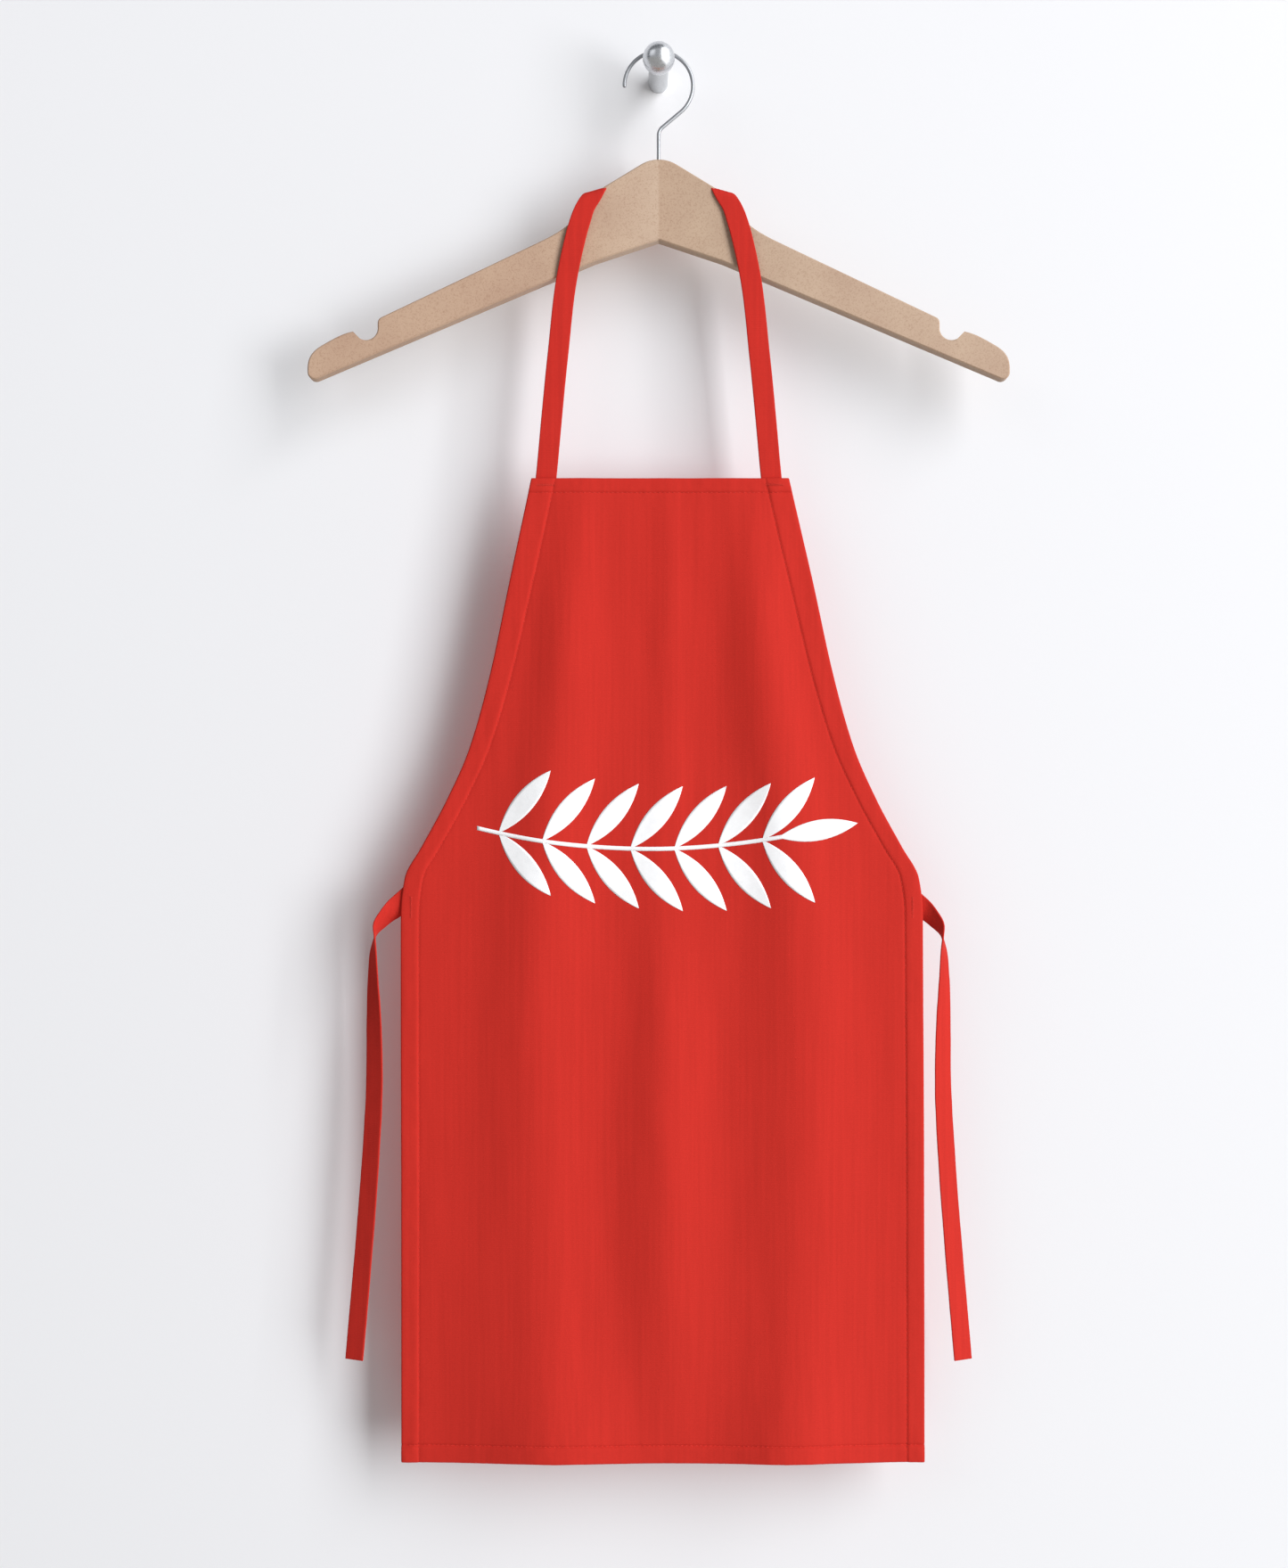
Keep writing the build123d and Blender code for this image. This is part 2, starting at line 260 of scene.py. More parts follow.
# %% Lights
def soft_light(name, place_at, aim_at, size, watts, colour="ffffff", tall=None):
    """An area light that the camera doesn't see, square unless it is given another height."""
    data = bpy.data.lights.new(name, "AREA")
    data.shape = "RECTANGLE"
    data.size = size
    data.size_y = tall or size
    data.energy = watts
    data.color = linear(colour)[:3]
    light = bpy.data.objects.new(name, data)
    light.location = place_at
    light.rotation_euler = (Vector(aim_at) - Vector(place_at)).to_track_quat("-Z", "Y").to_euler()
    light.visible_camera = False
    scene.collection.objects.link(light)
    return light


chest = (0, 0, -0.5)
soft_light("window_right", (4.9, -4.5, 1.2), chest, 3.4, 705, "fbfcff", tall=9.5)
soft_light("fill_left", (-2.2, -2.0, 1.3), (-0.4, 0, 0.1), 2.0, 9, "fbfcff")
card = soft_light("gloss_card", (1.5, -2.25, 0), (-1, -2.25, 0), 4.4, 92, tall=6.0)
card.visible_diffuse = False
soft_light("back_fill", (0.6, 1.8, 0.2), (0, 0, -0.4), 1.6, 22)
world = bpy.data.worlds.new("studio")
world.use_nodes = True
set_up(world.node_tree.nodes["Background"], Color=linear("f0f4fb"), Strength=0.2)
scene.world = world
scene.view_settings.view_transform = "Standard"

# %% [markdown]
# ## How the cloth hangs
# Hanging cloth is one surface with slow folds in it. Two soft ridges start under the strap ends, where
# the weight is carried, and run down to the hem, and a third rises in the middle of the skirt. Each is a
# bell curve whose place, height and width change on the way down, so the shape is a formula and every
# sewn piece can ask it where the cloth is.

# %% Curves through a few stops
def smooth_through(stops, at):
    """A curve through (position, value) stops that never overshoots them."""
    xs = np.array([s[0] for s in stops], float)
    ys = np.array([s[1] for s in stops], float)
    steps, rises = np.diff(xs), np.diff(ys)
    slopes = rises / steps
    both = slopes[:-1] * slopes[1:]
    inner = np.where(both > 0, 2 * both / np.where(both > 0, slopes[:-1] + slopes[1:], 1), 0)
    tangents = np.concatenate([slopes[:1], inner, slopes[-1:]])
    at = np.clip(at, xs[0], xs[-1])
    k = np.clip(np.searchsorted(xs, at) - 1, 0, len(steps) - 1)
    t = (at - xs[k]) / steps[k]
    start, end = ys[k], ys[k + 1]
    pull = (3 * (end - start) - steps[k] * (2 * tangents[k] + tangents[k + 1])) * t**2
    turn = (2 * (start - end) + steps[k] * (tangents[k] + tangents[k + 1])) * t**3
    return start + steps[k] * tangents[k] * t + pull + turn


def bell(distance, width):
    """A bell curve: 1 at distance 0, falling away over this width."""
    return np.exp(-((distance / width) ** 2))


def ease(share):
    """0 to 1 with a slow start and a slow end, for a share that is cut off at 0 and 1."""
    share = np.clip(share, 0, 1)
    return share * share * (3 - 2 * share)


# %% The apron's cut and its folds, in millimetres
bib_top = -267.5
hem_line = -894.0
waist = -541.5
skirt_half = 166.8
bib_half = 82.1
half_width_stops = (
    (hem_line, 167.7), (-700, 167.2), (-545, skirt_half), (-523, 164.3), (-503, 153.5), (-474, 137.8),
    (-440, 122.8), (-394.5, 109.9), (-330, 96.0), (bib_top, bib_half),
)
# Each ridge: its place across, its rise and its width, as stops from the hem up to the bib
ridges = (
    (((hem_line, -70), (-760, -80), (-640, -83), (-500, -74), (-400, -62), (bib_top, -54)),
     ((hem_line, 11.0), (-800, 6.2), (-640, 6.2), (-500, 6.2), (-400, 5.6), (-310, 2.8), (bib_top, 0.4)),
     ((hem_line, 40), (-700, 30), (-500, 26), (-330, 17), (bib_top, 14))),
    (((hem_line, 82), (-760, 88), (-640, 91), (-500, 82), (-400, 68), (bib_top, 58)),
     ((hem_line, 11.0), (-800, 6.2), (-640, 6.0), (-500, 6.2), (-400, 6.2), (-310, 2.8), (bib_top, 0.3)),
     ((hem_line, 36), (-700, 29), (-500, 26), (-330, 17), (bib_top, 14))),
    (((hem_line, 6), (-700, 2), (-500, 4), (bib_top, 6)),
     ((hem_line, 1.6), (-830, 3.2), (-740, 6.0), (-620, 5.4), (-520, 1.8), (-400, 2.0), (-310, 1.1),
      (bib_top, 0.2)),
     ((hem_line, 30), (-700, 23), (-520, 16), (-300, 9))),
)
# The cloth hangs a few millimetres off to the right of the hanger's middle
lean_stops = ((hem_line, 2.8), (-700, 2.5), (-560, 2.0), (-400, 1.8), (-340, 1.6), (bib_top, 0.9))
# Its sides hang a little nearer the wall than its middle does
setback_stops = ((hem_line, 6.2), (-760, 3.6), (-600, 2.6), (-500, 2.0), (bib_top, 0.0))
bib_depth = 41.7
# Below this height the hem drops by a share of the depth that the cloth lacks there
drop_from = -700
drop_full = -890
drop_share = 0.24
drop_depth = bib_depth + 9


def half_width(z):
    """Half the cloth's width at a height."""
    return smooth_through(half_width_stops, z)


def cloth_depth(x, z):
    """How far the cloth's middle surface is from the wall."""
    depth = bib_depth - smooth_through(setback_stops, z) * (x / skirt_half) ** 2
    for place_stops, rise_stops, width_stops in ridges:
        centre, width = smooth_through(place_stops, z), smooth_through(width_stops, z)
        depth = depth + smooth_through(rise_stops, z) * bell(x - centre, width)
    return depth


def hem_drop(x, z):
    """How far the cloth's lower edge sinks between its folds, where it hangs flatter."""
    flatter = np.maximum(drop_depth - cloth_depth(x, z), 0)
    return drop_share * flatter * ease((drop_from - z) / (drop_from - drop_full))


def cloth_point(x, z, forward=0.0):
    """A point in metres on the cloth at (x, z), moved forward along its normal. Takes arrays too."""
    step = 0.5
    across = (cloth_depth(x + step, z) - cloth_depth(x - step, z)) / (2 * step)
    down = (cloth_depth(x, z + step) - cloth_depth(x, z - step)) / (2 * step)
    length = np.sqrt(across**2 + down**2 + 1)
    depth = cloth_depth(x, z)
    return np.stack([
        x - across / length * forward + smooth_through(lean_stops, z),
        -depth - forward / length,
        z - down / length * forward - hem_drop(x, z),
    ], axis=-1) * mm


print("cloth depth at the hem", round(float(cloth_depth(-70.0, hem_line)), 1), "mm")

# %% [markdown]
# ## The body of the apron
# A sewn edge is what separates cloth from card: the cloth turns over at the edge, comes back behind
# itself and is stitched down, so the edge is round and the band along it lies a little proud. The mesh is
# one grid whose outer columns and rows are that turned-in allowance. Rolling them over as the grid is
# draped makes the folded edge, the back of the hem and the front in one piece.

# %% Piece helpers
def finish_piece(bm, name, material, body=None):
    """Turns a bmesh into a smooth object of one material, and rides it on a body if one is named."""
    mesh = bpy.data.meshes.new(name)
    bm.to_mesh(mesh)
    bm.free()
    piece = bpy.data.objects.new(name, mesh)
    scene.collection.objects.link(piece)
    mesh.materials.append(material)
    mesh.polygons.foreach_set("use_smooth", [True] * len(mesh.polygons))
    if body:
        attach(piece, body)
    return piece


def ease_edges(piece, width):
    """Rounds the sharp edges of a piece."""
    bevel = piece.modifiers.new("eased", "BEVEL")
    bevel.width = width
    bevel.segments = 2
    bevel.limit_method = "ANGLE"
    bevel.angle_limit = radians(60)


def thicken(piece, thickness, edge=0.0):
    """Gives a sheet its thickness, and rounds its edges if they have a width."""
    solid = piece.modifiers.new("thickness", "SOLIDIFY")
    solid.thickness = thickness
    solid.offset = 0
    if edge:
        ease_edges(piece, edge)


# %% Rows and columns of the cut
cloth_thickness = 0.55
fold_radius = 0.8
side_hem = 11.0
top_hem = 9.0
bottom_hem = 11.0
armhole_turning = 5.0
# The armhole band widens from the waist up to the strap, which is sewn on inside its stitch line
seam_stops = ((hem_line, 11.1), (waist, 11.4), (-474, 11.9), (-383, 13.7), (-300, 15.0), (bib_top, 15.0))
roll_length = pi * fold_radius
# The outer band of the front, where the grid is finer, is this wide
rim = 16.0


def turned(run):
    """For distances along the cloth from the start of the fold, how far inside the finished edge and how
    far behind the front layer they come: flat, then round the fold, then back behind it."""
    angle = np.clip(-run / fold_radius, 0, pi)
    inset = fold_radius - fold_radius * np.sin(angle)
    inset = inset + np.where(run > 0, run, 0) + np.where(run < -roll_length, -run - roll_length, 0)
    return inset, fold_radius * (1 - np.cos(angle))


def edge_run(allowance, stitched):
    """Distances for one turned-in edge, closer together in the fold and at the stitch line."""
    back = [-roll_length - allowance * k / 4 for k in (4, 3, 2, 1)]
    roll = [-roll_length * k / 6 for k in (6, 5, 4, 3, 2, 1)]
    line = stitched - fold_radius
    by_line = [line + step for step in (-1.6, -0.9, -0.4, 0, 0.4, 0.9, 1.8)]
    return np.array(back + roll + sorted([0, 1.5, 3.2, 5, 7] + by_line) + [rim - fold_radius])


columns_inside = 100
rows_inside = 200
side_run = edge_run(side_hem, side_hem)
top_run = edge_run(top_hem, top_hem)
bottom_run = edge_run(bottom_hem, bottom_hem)
column_count = 2 * len(side_run) + columns_inside - 1
row_count = len(top_run) + len(bottom_run) + rows_inside - 1
print("cloth grid", column_count, "by", row_count)


# %% Where each row and column goes
def side_slope(z):
    """How much longer a step across is than a step square to the sloping side."""
    slope = half_width(z + 0.5) - half_width(z - 0.5)
    return np.sqrt(1 + slope**2)


def seam_inset(z):
    """How far in from the side, measured level, the side and armhole stitch line runs."""
    return smooth_through(seam_stops, z)


def row_place(row):
    """Height and distance behind the front for row numbers."""
    inset_low, back_low = turned(bottom_run)
    inset_high, back_high = turned(top_run)
    low, high = hem_line + inset_low, bib_top - inset_high[::-1]
    middle = np.linspace(low[-1], high[0], rows_inside + 1)[1:-1]
    heights = np.concatenate([low, middle, high])
    behind = np.concatenate([back_low, 0 * middle, back_high[::-1]])
    return heights[row], behind[row]


def column_place(column, z):
    """Place across and distance behind the front for column numbers at the heights z."""
    across = side_slope(z)
    inset, back = turned(side_run)
    shorter = np.where(z > waist, armhole_turning / side_hem, 1.0)
    wider = seam_inset(z) / (side_hem * across)
    count = len(side_run)
    from_right = column_count - 1 - column
    near = np.minimum(column, from_right)
    on_edge = near < count
    k = np.minimum(near, count - 1)
    under = back[k] > 1.9 * fold_radius
    depth_in = np.where(under, fold_radius + (inset[k] - fold_radius) * shorter, inset[k])
    depth_in = np.where(side_run[k] > 0, inset[k] * wider, depth_in)
    edge_x = half_width(z) - depth_in * across
    inner = half_width(z) - rim * wider * across
    share = (column - (count - 1)) / columns_inside * 2 - 1
    sign = np.where(column < column_count / 2, -1, 1)
    return np.where(on_edge, sign * edge_x, inner * share), np.where(on_edge, back[k], 0.0)


# %% [markdown]
# The folds are large and slow; what sells cotton is the small unevenness on top of them. A stitch line
# pulls the cloth down into a fine groove, with little puckers on both sides of it, and the plain areas
# keep faint creases from the time when the apron lay folded. These are moves of a millimetre at most,
# made by shifting each vertex along the cloth's normal.

# %% Fine relief of the cloth, in millimetres
stitch_groove = 0.42
hem_groove = 1.9 * stitch_groove
groove_width = 0.75
hem_proud = 0.5
hem_step = 0.45
pucker = 0.25
pucker_width = 7.5
# Puckers are centred a little outside the stitch line, at this share of its distance from the edge
pucker_centre = 0.62


def soft_noise(x, z, seed):
    """Smooth noise around 0 at each point."""
    return np.array([noise.noise((float(a), float(b), seed)) for a, b in zip(x, z)])


def relief(x, z):
    """How far the cloth's face stands forward of its slow folds."""
    side = (half_width(z) - np.abs(x)) / side_slope(z)
    along_top, along_bottom = bib_top - z, z - hem_line
    seam = seam_inset(z) / side_slope(z)
    height = 0
    puckered = soft_noise(x / 7.0, z / 7.0, 3.0) + 0.6 * soft_noise(x / 3.6, z / 3.6, 9.0)
    for distance, line, groove in (
        (side, seam, stitch_groove),
        (along_top, top_hem, stitch_groove),
        (along_bottom, bottom_hem, hem_groove),
    ):
        height = height - groove * bell(distance - line, groove_width)
        height = height + pucker * puckered * bell(distance - line * pucker_centre, pucker_width)
        height = height + hem_proud / (1 + np.exp(np.clip((distance - line) / hem_step, -30, 30)))
    creases = soft_noise(x / 34.0, z / 120.0, 5.0) * 0.9 + soft_noise(x / 15.0, z / 42.0, 21.0) * 0.28
    return height + creases


# %% The apron's cloth
def grid_piece(column_total, row_total):
    """A bmesh grid, and for each vertex its column and row."""
    bm = bmesh.new()
    bmesh.ops.create_grid(bm, x_segments=column_total - 1, y_segments=row_total - 1, size=1)
    place = np.array([vert.co[:2] for vert in bm.verts])
    column = np.rint((place[:, 0] + 1) / 2 * (column_total - 1)).astype(int)
    row = np.rint((place[:, 1] + 1) / 2 * (row_total - 1)).astype(int)
    return bm, column, row


def place_vertices(bm, points):
    """Moves every vertex to its point."""
    for vert, point in zip(bm.verts, points):
        vert.co = point


bm, column, row = grid_piece(column_count, row_count)
height, row_behind = row_place(row)
across, column_behind = column_place(column, height)
behind = row_behind + column_behind
on_front = behind < 1.0
place_vertices(bm, cloth_point(across, height, relief(across, height) * on_front - behind))
red_cotton = new_material("red_cotton_twill_woven")
apron_cloth = finish_piece(bm, "apron_cloth", red_cotton)
thicken(apron_cloth, cloth_thickness * mm)
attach(apron_cloth, "apron")
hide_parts("apron_panel")
print("apron cloth", len(apron_cloth.data.polygons), "faces")

# %% [markdown]
# ## Tape
# The neck strap and the waist ties are the same tape: a strip of the apron's cotton folded in four and
# stitched along both edges. A ribbon of quads is swept along a path, with the direction across the tape
# given at each station, so it can twist. The strip is then given its thickness, and its edges are
# rounded.

# %% Paths and ribbons
def through(stations, count):
    """A smooth curve through the stations, as evenly spaced rows of numbers."""
    knots = np.array(stations, float)
    gaps = np.linalg.norm(np.diff(knots[:, :3], axis=0), axis=1)
    at = np.concatenate([[0], np.cumsum(gaps)])
    slopes = np.gradient(knots, at, axis=0)
    where = np.linspace(0, at[-1], count)
    k = np.clip(np.searchsorted(at, where, side="right") - 1, 0, len(at) - 2)
    step = (at[k + 1] - at[k])[:, None]
    t = ((where - at[k]) / (at[k + 1] - at[k]))[:, None]
    start, end, rise_0, rise_1 = knots[k], knots[k + 1], slopes[k] * step, slopes[k + 1] * step
    return (
        start * (2 * t**3 - 3 * t**2 + 1) + rise_0 * (t**3 - 2 * t**2 + t)
        + end * (3 * t**2 - 2 * t**3) + rise_1 * (t**3 - t**2)
    )


def unit(vectors):
    """The same directions with length one."""
    return vectors / np.linalg.norm(vectors, axis=-1, keepdims=True)


tape_width = 13.3
tape_thickness = 1.15
tape_across = 12
tape_edge = 0.5
tape_ripple = 0.18
levelled_rows = 12


def ribbon(name, centres, across, material):
    """A tape along centre points, with the direction across it at each, in millimetres. Its last rows
    turn level, so that it ends in a straight cut."""
    bm, column, row = grid_piece(tape_across + 1, len(centres))
    along = unit(np.gradient(centres, axis=0))
    across = unit(across - np.sum(across * along, axis=1, keepdims=True) * along)
    out = np.cross(along, across)
    share = column / tape_across * 2 - 1
    rippled = soft_noise(row / 5.0, share * 0.7, 31.0) * tape_ripple
    offset = share * tape_width / 2
    points = centres[row] + across[row] * offset[:, None] + out[row] * rippled[:, None]
    from_end = len(centres) - 1 - row
    points[:, 2] -= np.clip(1 - from_end / levelled_rows, 0, 1) * across[-1][2] * offset
    place_vertices(bm, points * mm)
    piece = finish_piece(bm, name, material)
    thicken(piece, tape_thickness * mm, edge=tape_edge * mm)
    return piece


# %% [markdown]
# ## The neck strap
# The strap is a straight tape that goes up the front of the board, folds over its sloping top edge and
# runs across behind it. A tape folded over a slanted edge leaves in a new direction, so the path is
# worked out flat first: the strap is drawn as it would run if the board weren't there, and then the
# part above the edge is wrapped over and down the back. At the edge the tape gathers a little, and below
# the board it bulges forward before it drops behind the bib.

# %% The strap's flat path and its wrap over the board
red_tape = new_material("red_cotton_tape_folded_and_stitched")
edge_slope = radians(-16)
edge_line = np.array([cos(edge_slope), sin(edge_slope)])
edge_up = np.array([-edge_line[1], edge_line[0]])
edge_point = np.array([33.0, -82.2])
# How far from the wall the middle of the tape runs, before and behind the board
front_depth = 40.35
back_depth = 28.75
wrap_radius = 3.2
wrap_lift = 1.3
wrap_arch = 0.6
wrap_flat = front_depth - back_depth - 2 * wrap_radius
wrap_length = pi * wrap_radius + wrap_flat
wrap_start = edge_up @ edge_point + wrap_lift - wrap_radius


def unfolded(point):
    """Where a point on the back of the board lies on the flat, unfolded strap."""
    a, b = edge_line @ point, edge_up @ point - wrap_start
    return edge_line * a + edge_up * (wrap_start + wrap_length - b)


def wrapped(flat):
    """Flat strap points, one per row, folded over the board's edge: (x, y, z) in millimetres."""
    a = flat @ edge_line
    b = flat @ edge_up - wrap_start
    quarter = wrap_radius * pi / 2
    first = np.clip(b, 0, quarter) / wrap_radius
    level = np.clip(b - quarter, 0, wrap_flat)
    second = np.clip(b - quarter - wrap_flat, 0, quarter) / wrap_radius
    down = np.maximum(b - wrap_length, 0)
    up = np.minimum(b, 0) + wrap_radius * (np.sin(first) + np.cos(second) - 1) - down
    back = wrap_radius * (1 - np.cos(first)) + level + wrap_radius * np.sin(second)
    up = up + wrap_arch * np.sin(np.clip(b / wrap_length, 0, 1) * pi)
    place = a[:, None] * edge_line + (wrap_start + up)[:, None] * edge_up
    return np.stack([place[:, 0], -front_depth + back, place[:, 1]], axis=1)


front_path = [
    (73.4, -279.3), (72.0, -266.0), (64.6, -189.5), (58.3, -137.0), (54.7, -120.0), (50.7, -104.5),
    (46.6, -93.2), (42.6, -86.8),
]
back_path = [(29.5, -84.5), (22.0, -88.0), (11.0, -89.2), (0.0, -89.3)]
flat_stations = front_path + [tuple(unfolded(np.array(p))) for p in back_path]
flat_path = through([(x, 0, z) for x, z in flat_stations], 150)[:, [0, 2]]

# %% The strap
gather = 0.12
gather_height, gather_spread = -88.0, 9.0
bulge = 1.6
bulge_height, bulge_spread = -118.0, 24.0
below_fold = -84.0
free_below = -120.0
ripple = 0.25
tuck = 1.25
tuck_from, tuck_full = -236.0, -262.0
strap_edge = 0.45

strap_rows = 2 * len(flat_path) - 1
bm, column, row = grid_piece(tape_across + 1, strap_rows)
half_row = np.minimum(row, strap_rows - 1 - row)
forward = unit(np.gradient(flat_path, axis=0))
sideways = np.stack([forward[:, 1], -forward[:, 0]], axis=1)
share = column / tape_across * 2 - 1
mirrored = row > half_row
gathered = 1 - gather * bell(flat_path[half_row, 1] - gather_height, gather_spread)
flat = flat_path[half_row] + sideways[half_row] * (share * gathered * tape_width / 2)[:, None]
points = wrapped(flat)
rippled = ripple * soft_noise(half_row / 9.0, share * 0.5 + mirrored * 7, 41.0)
points[:, 1] += rippled * (flat[:, 1] < free_below)
points[:, 1] -= bulge * bell(points[:, 2] - bulge_height, bulge_spread) * (flat[:, 1] < below_fold)
points[:, 1] += tuck * ease((tuck_from - points[:, 2]) / (tuck_from - tuck_full))
points[mirrored, 0] *= -1
place_vertices(bm, points * mm)
neck_strap = finish_piece(bm, "neck_strap", red_tape)
thicken(neck_strap, tape_thickness * mm, edge=strap_edge * mm)
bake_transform(neck_strap)
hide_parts("neck_strap_left", "neck_strap_right", "neck_strap_back")

# %% [markdown]
# ## The waist ties
# Each tie leaves the side seam slanting down, turns half over within its first few centimetres because
# tape never hangs flat from a slanting seam, and then hangs on its own weight, a little out from the
# apron's side.

# %% The ties
tie_depth = 37.6
# Where it hangs free, a tie sways a little to and from the wall
tie_sway = 1.4
sway_start, sway_free, sway_length = -541, -580, 60
# Stations down a tie: place across, height, how steeply it runs and how far it is turned, in degrees
tie_stations = (
    (154.6, -529.0, 43, 0), (161.0, -535.2, 43, 0), (167.6, -541.0, 42, 8), (173.8, -546.6, 48, 40),
    (179.0, -553.0, 60, 60), (181.5, -559.5, 76, 92), (182.6, -568.0, 88, 110), (183.0, -586.0, 90, 125),
    (182.4, -612.0, 91, 139), (182.0, -655.0, 91, 148), (184.6, -704.0, 86, 152), (189.0, -760.0, 85, 154),
    (194.0, -817.0, 84, 156), (195.3, -832.0, 84, 156),
)


def tie_path(side):
    """Centres and across directions of a tie; side is 1 for the right and -1 for the left."""
    stations = []
    for x, z, fall, turn in tie_stations:
        down, level = sin(radians(fall)), cos(radians(fall))
        across = Matrix.Rotation(radians(turn), 3, Vector((level, 0, -down))) @ Vector((down, 0, level))
        free = min(1, max(0, (sway_free - z) / sway_length))
        sway = tie_sway * sin((z - sway_start) / sway_length) * free
        stations.append((side * x, -tie_depth + sway, z, side * across.x, across.y, across.z))
    rows = through(stations, 150)
    return rows[:, :3], rows[:, 3:]


for side, word in ((1, "right"), (-1, "left")):
    centres, across = tie_path(side)
    tie = ribbon(f"waist_tie_{word}_tape", centres, across, red_tape)
    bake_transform(tie)
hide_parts("waist_tie_right", "sewn_tie_ends")
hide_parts("waist_tie_left")

# %% [markdown]
# ## Armhole facings
# The curved edges can't be turned in deeply without puckering, so a strip cut on the bias is sewn behind
# each one and stitched down, 12 to 15 mm in. From the front only its stitch line shows.

# %% Facing strips
facing_columns, facing_rows = 9, 110
facing_foot, facing_head = -538.0, bib_top - 12.5
facing_inset = 1.0
facing_past_seam = 0.5
facing_gap, facing_waver = 0.75, 0.1
facing_thickness = 0.4

for side, word in ((1, "right"), (-1, "left")):
    bm, column, row = grid_piece(facing_columns, facing_rows)
    z = np.linspace(facing_foot, facing_head, facing_rows)[row]
    facing_width = seam_inset(z) + facing_past_seam - facing_inset
    inset = facing_inset + facing_width * column / (facing_columns - 1)
    x = side * (half_width(z) - inset)
    depth = 2 * fold_radius + facing_gap + facing_waver * soft_noise(z / 9, inset / 4, 55.0)
    place_vertices(bm, cloth_point(x, z, -depth))
    facing = finish_piece(bm, f"armhole_facing_{word}_strip", red_cotton)
    thicken(facing, facing_thickness * mm)
    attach(facing, "apron")
    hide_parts(f"armhole_facing_{word}")

# %% [markdown]
# ## Stitching
# A machine stitch is a short dash of thread that dips into the cloth at both ends. Each dash is a tiny
# stretched ball of twenty faces, half sunk in the cloth, laid along the stitch line at the real spacing.
# Bar tacks, the dense zigzags where the straps and ties carry load, are the same dash laid side
# by side.

# %% Stitch helpers
stitch_pitch = 3.0
stitch_length = 2.3
thread_width = 0.42
stitch_lift = cloth_thickness / 2 + 0.02


def stitch(bm, point, run, up, length=stitch_length):
    """One dash of thread at a point in metres, lying along run on a face whose normal is up."""
    run = Vector(run).normalized()
    up = Vector(up)
    up = (up - run * up.dot(run)).normalized()
    turn = Matrix((run, up.cross(run), up)).transposed().to_4x4()
    size = Matrix.Diagonal((length * mm / 2, thread_width * mm / 2, thread_width * mm / 2, 1))
    bmesh.ops.create_icosphere(bm, subdivisions=1, radius=1, matrix=Matrix.Translation(point) @ turn @ size)


def cloth_normals(x, z):
    """Unit normals of the cloth, pointing forward."""
    return unit(cloth_point(x, z, 1.0) - cloth_point(x, z, 0.0))


def stitch_line(bm, x, z):
    """A row of stitches on the front of the cloth through the points (x, z), given in order."""
    gone = np.concatenate([[0], np.cumsum(np.hypot(np.diff(x), np.diff(z)))])
    at = np.arange(stitch_pitch / 2, gone[-1], stitch_pitch)
    sx, sz = np.interp(at, gone, x), np.interp(at, gone, z)
    points = cloth_point(sx, sz, relief(sx, sz) + stitch_lift)
    for point, run, up in zip(points, np.gradient(points, axis=0), cloth_normals(sx, sz)):
        stitch(bm, point, run, up)


# %% Hem, side and armhole stitching
# Every line stops this far short of the corners
hem_short, short = 3, 2
bm = bmesh.new()
span = np.linspace(-1, 1, 200)
stitch_line(bm, span * (skirt_half - hem_short), np.full(len(span), hem_line + bottom_hem))
stitch_line(bm, span * (bib_half - short), np.full(len(span), bib_top - top_hem))
straight_side = np.linspace(hem_line + short, waist, 200)
armhole = np.linspace(waist, bib_top - short, 300)
for side in (1, -1):
    for z in (straight_side, armhole):
        stitch_line(bm, side * (half_width(z) - seam_inset(z)), z)
thread = new_material("red_polyester_sewing_thread")
hem_stitches = finish_piece(bm, "hem_stitches", thread, "apron")
print("hem stitches", len(hem_stitches.data.polygons), "faces")

# %% Bar tacks
tack_pitch = 0.62
tack_height = 1.9
zigzag = 0.18


def bar_tack(bm, x, z, run_x, run_z, width):
    """A zigzag tack centred at (x, z) on the cloth: dashes across the direction (run_x, run_z)."""
    count = int(width / tack_pitch)
    for k in range(count + 1):
        along = -width / 2 + width * k / count
        lean = zigzag * (-1) ** k
        px, pz = np.array([x + run_x * along]), np.array([z + run_z * along])
        point = cloth_point(px, pz, relief(px, pz) + cloth_thickness / 2)[0]
        run = (-run_z + lean * run_x, 0, run_x + lean * run_z)
        stitch(bm, point, run, cloth_normals(px, pz)[0], length=tack_height)


for word, x, z, run_x, run_z, width in (
    ("strap", 73.0, bib_top - 4.2, 1, 0, 11.3),
    ("tie", 160.3, waist, 0, 1, 13.0),
):
    bm = bmesh.new()
    for side in (1, -1):
        bar_tack(bm, side * x, z, run_x, run_z, width)
    tacks = finish_piece(bm, f"{word}_tack_threads", thread, "apron")
    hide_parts(f"{word}_bartacks")
    print(tacks.name, len(tacks.data.polygons), "faces")

# %% [markdown]
# ## The printed sprig
# A screen print is a thin film of white ink that lies in the weave and follows every fold. It is made as
# leaf shapes from narrow grids laid just above the cloth's face, so the same formula that bends the cloth
# bends the ink.

# %% Leaves and stalk
print_lift = cloth_thickness / 2 + 0.1
ink_thickness = 0.12
sprig_middle = (2.0, -499.0)
stalk_start, stalk_end = -120.0, 76.0
stalk_width = 2.6
leaf_length = 52.0
leaf_width = 13.0
leaf_pairs = 7
first_pair, pair_spacing = -106.0, 28.0
pair_lean = radians(50)
tip_root, tip_lean = 72.0, radians(10)
leaf_grid = (28, 9)
stalk_grid = (90, 3)


def stalk_height(x):
    """Height of the sprig's stalk above the middle of the print."""
    return 0.0011 * (x + 10) ** 2 - 5


